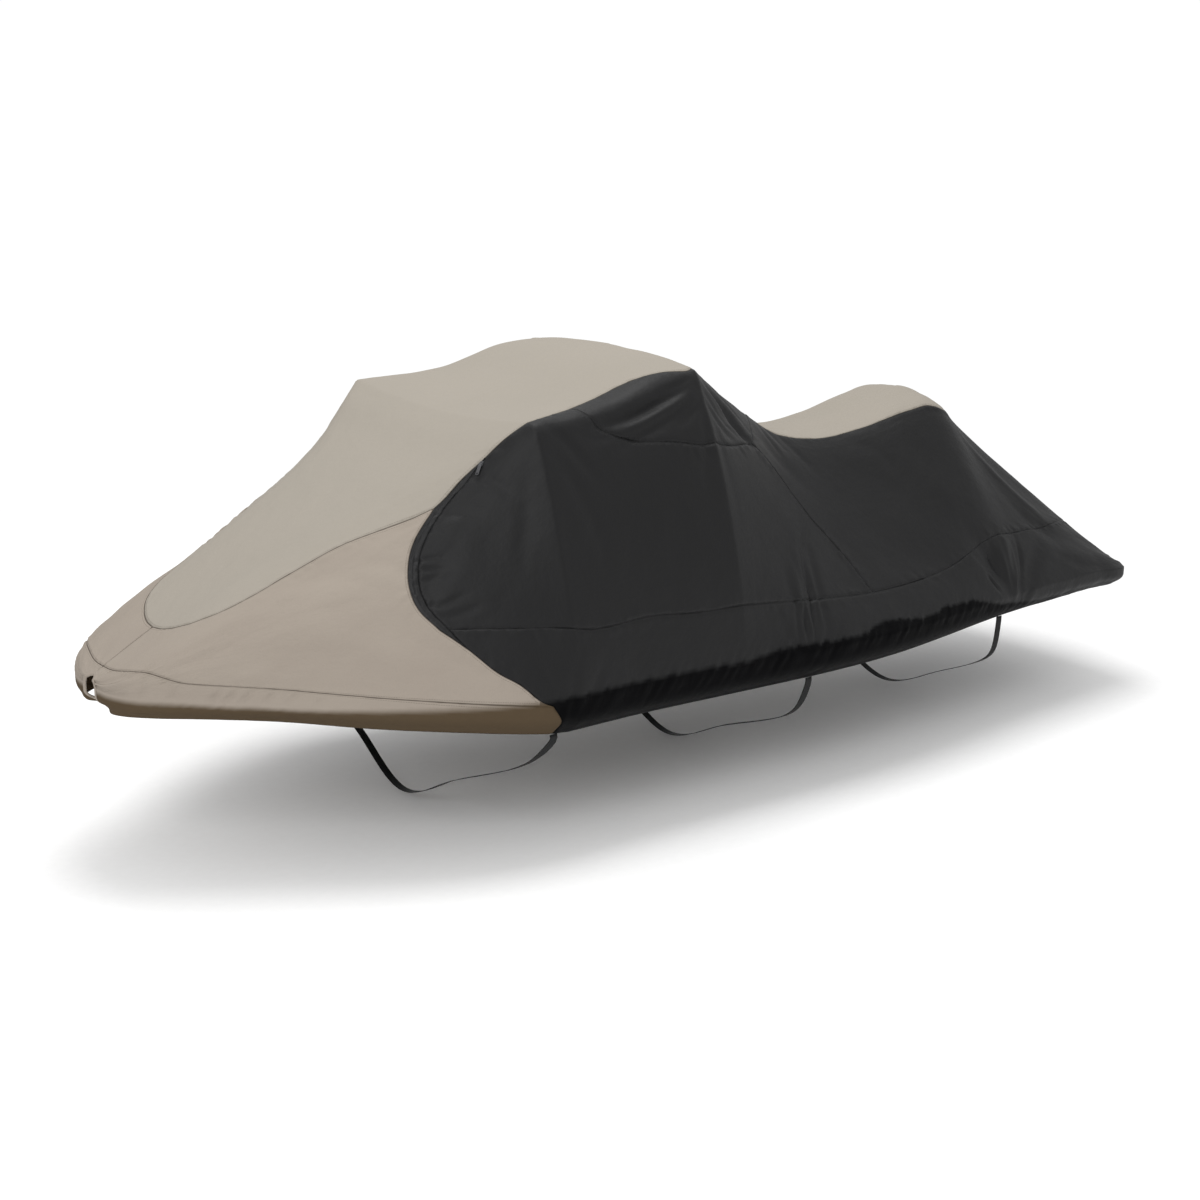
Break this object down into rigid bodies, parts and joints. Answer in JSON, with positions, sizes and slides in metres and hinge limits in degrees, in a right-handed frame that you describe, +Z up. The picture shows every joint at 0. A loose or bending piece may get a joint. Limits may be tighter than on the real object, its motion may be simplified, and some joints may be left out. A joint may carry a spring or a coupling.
{
  "type": "personal watercraft cover",
  "caption": "Fitted cloth cover for a personal watercraft, with a tented hood over the handlebars, a zip at the side, a notched bow and webbing tie-downs under the hull.",
  "frame": {"origin": "under the top on the centreline at the handlebars, where the craft holds the cover up", "axes": "+X from bow to stern, +Y to starboard, +Z up"},
  "size_m": [3.3743, 1.272, 1.173],
  "materials": {
    "taupe": "matte woven polyester",
    "black": "matte woven polyester",
    "binding": "matte folded binding",
    "webbing": "woven webbing",
    "zip": "zip tape with a coil"
  },
  "bodies": {
    "root": {"bow_skirt_port": "taupe", "bow_skirt_starboard": "taupe", "bow_side_port": "taupe", "bow_side_starboard": "taupe", "hood_top": "taupe", "zip_tape_port": "zip", "side_lower_port": "black", "side_lower_starboard": "black", "side_upper_port": "black", "side_upper_starboard": "black", "cross_band": "black", "seat_top": "taupe", "rear_quarters": "black", "notch_binding": "binding", "zip_pull": "zip", "strap_front": "webbing", "strap_middle": "webbing", "strap_rear": "webbing"}
  },
  "joints": []
}
